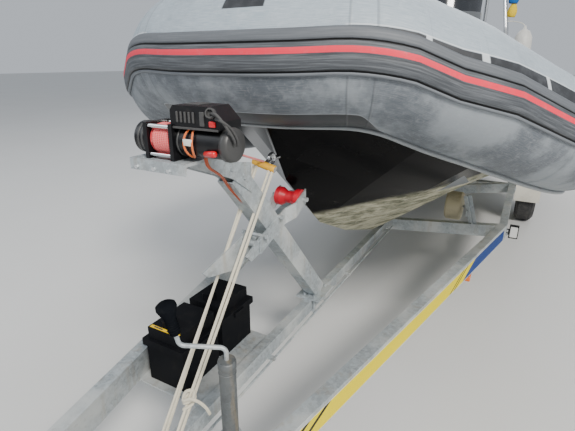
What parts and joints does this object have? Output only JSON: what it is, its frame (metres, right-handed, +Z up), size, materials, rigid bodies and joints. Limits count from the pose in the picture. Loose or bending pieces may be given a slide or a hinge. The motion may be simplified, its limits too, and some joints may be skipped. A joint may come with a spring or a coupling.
{
  "type": "rigid inflatable boat on trailer",
  "caption": "Rigid inflatable boat with a console, arch and tilted outboard engine, on a braked road trailer with winch post and jockey wheel.",
  "frame": {"origin": "middle of the outfit's footprint, on the ground", "axes": "+X to port, +Y aft, +Z up; the trailer coupling points to -Y"},
  "size_m": [2.393, 8.3692, 2.32],
  "materials": {
    "galvanised": "hot-dip galvanised, dusty, with yellowed weather stains",
    "tyre_rubber": "worn black tread and side walls",
    "rim_steel": "silver pressed steel",
    "black_rubber": "matt black rubber",
    "tube_fabric": "coated fabric, dark grey",
    "strake_rubber": "ribbed black rubber",
    "hull_gelcoat": "glossy black, stained along the keel",
    "console_gelcoat": "pale grey gelcoat",
    "seat_vinyl": "black stitched vinyl",
    "stainless": "polished stainless tube",
    "engine_paint": "satin black",
    "winch_paint": "satin black",
    "roller_red": "red polyurethane",
    "roller_cream": "pale rubber, caked with dust",
    "battery_plastic": "dark grey plastic",
    "black_plastic": "black plastic",
    "guard_steel": "galvanised sheet",
    "lamp_plastic": "red and white lamp lenses in black housings",
    "screen_acrylic": "smoked acrylic",
    "rope_fibre": "cream polyester rope",
    "winch_rope_fibre": "red synthetic rope"
  },
  "bodies": {
    "boat_and_trailer": {"arch": "stainless", "axle": "galvanised", "battery_boxes": "battery_plastic", "battery_tray": "galvanised", "bow_hook": "stainless", "bow_roller": "roller_red", "brake_rod": "galvanised", "centre_beam": "galvanised", "clamp_bracket": "engine_paint", "console": "console_gelcoat", "coupling_bellows": "black_rubber", "coupling_head": "galvanised", "cross_members": "galvanised", "damper_housing": "galvanised", "grab_rail": "stainless", "handbrake_lever": "black_plastic", "hull": "hull_gelcoat", "jockey_clamp": "galvanised", "jockey_crank": "galvanised", "jockey_outer_tube": "galvanised", "keel_brackets": "galvanised", "keel_rollers": "roller_red", "lamp_bar": "galvanised", "lamps": "lamp_plastic", "mooring_rope": "rope_fibre", "mudguards": "guard_steel", "rail_port": "galvanised", "rail_starboard": "galvanised", "roller_arm": "galvanised", "seat": "seat_vinyl", "side_rollers": "roller_cream", "side_struts": "galvanised", "strake": "strake_rubber", "tube_bow": "tube_fabric", "tube_cones": "tube_fabric", "tube_port": "tube_fabric", "tube_starboard": "tube_fabric", "winch_base": "galvanised", "winch_body": "winch_paint", "winch_control_box": "black_plastic", "winch_post": "galvanised", "winch_rope": "winch_rope_fibre", "windscreen": "screen_acrylic"},
    "port_wheel": {"tyre_port": "tyre_rubber", "rim_port": "rim_steel"},
    "starboard_wheel": {"tyre_starboard": "tyre_rubber", "rim_starboard": "rim_steel"},
    "jockey_leg": {"jockey_inner_tube": "galvanised"},
    "jockey_caster": {"jockey_fork": "galvanised"},
    "jockey_roller": {"jockey_wheel": "black_rubber"},
    "winch_spool": {"winch_drum": "roller_red"},
    "engine_swivel": {"swivel_bracket": "engine_paint"},
    "outboard": {"engine_midsection": "engine_paint", "engine_gearcase": "engine_paint", "engine_cowl": "engine_paint"},
    "propeller_body": {"propeller": "engine_paint"},
    "helm": {"helm_wheel": "black_plastic"}
  },
  "joints": [
    {"name": "port_wheel_spin", "type": "hinge", "parent": "boat_and_trailer", "child": "port_wheel", "pos_m": [0.9065, 1.3854, 0.298], "axis": [1, 0, 0], "continuous": true},
    {"name": "starboard_wheel_spin", "type": "hinge", "parent": "boat_and_trailer", "child": "starboard_wheel", "pos_m": [-0.9065, 1.3854, 0.298], "axis": [1, 0, 0], "continuous": true},
    {"name": "jockey_height", "type": "slide", "parent": "boat_and_trailer", "child": "jockey_leg", "axis": [0, 0, 1], "range_m": [-0.06, 0.12]},
    {"name": "jockey_swivel", "type": "hinge", "parent": "jockey_leg", "child": "jockey_caster", "pos_m": [0.19, -2.5946, 0.15], "axis": [0, 0, 1], "continuous": true},
    {"name": "jockey_wheel_spin", "type": "hinge", "parent": "jockey_caster", "child": "jockey_roller", "pos_m": [0.19, -2.5566, 0.1], "axis": [1, 0, 0], "continuous": true},
    {"name": "winch_drum_spin", "type": "hinge", "parent": "boat_and_trailer", "child": "winch_spool", "pos_m": [0, -2.5346, 1.31], "axis": [1, 0, 0], "continuous": true},
    {"name": "engine_tilt", "type": "hinge", "parent": "boat_and_trailer", "child": "engine_swivel", "pos_m": [0, 3.2254, 0.952], "axis": [1, 0, 0], "range_deg": [-40, 25]},
    {"name": "engine_steer", "type": "hinge", "parent": "engine_swivel", "child": "outboard", "pos_m": [0, 3.31733, 1.02913], "axis": [0, -0.6428, 0.766], "range_deg": [-30, 30]},
    {"name": "propeller_spin", "type": "hinge", "parent": "outboard", "child": "propeller_body", "pos_m": [0, 4.07105, 0.66294], "axis": [0, 0.766, 0.6428], "continuous": true},
    {"name": "helm_turn", "type": "hinge", "parent": "boat_and_trailer", "child": "helm", "pos_m": [0, 0.84804, 1.75264], "axis": [0, 0.7071, 0.7071], "range_deg": [-540, 540]}
  ],
  "couplings": [
    {"joint": "helm_turn", "follows": "engine_steer", "ratio": 18}
  ]
}
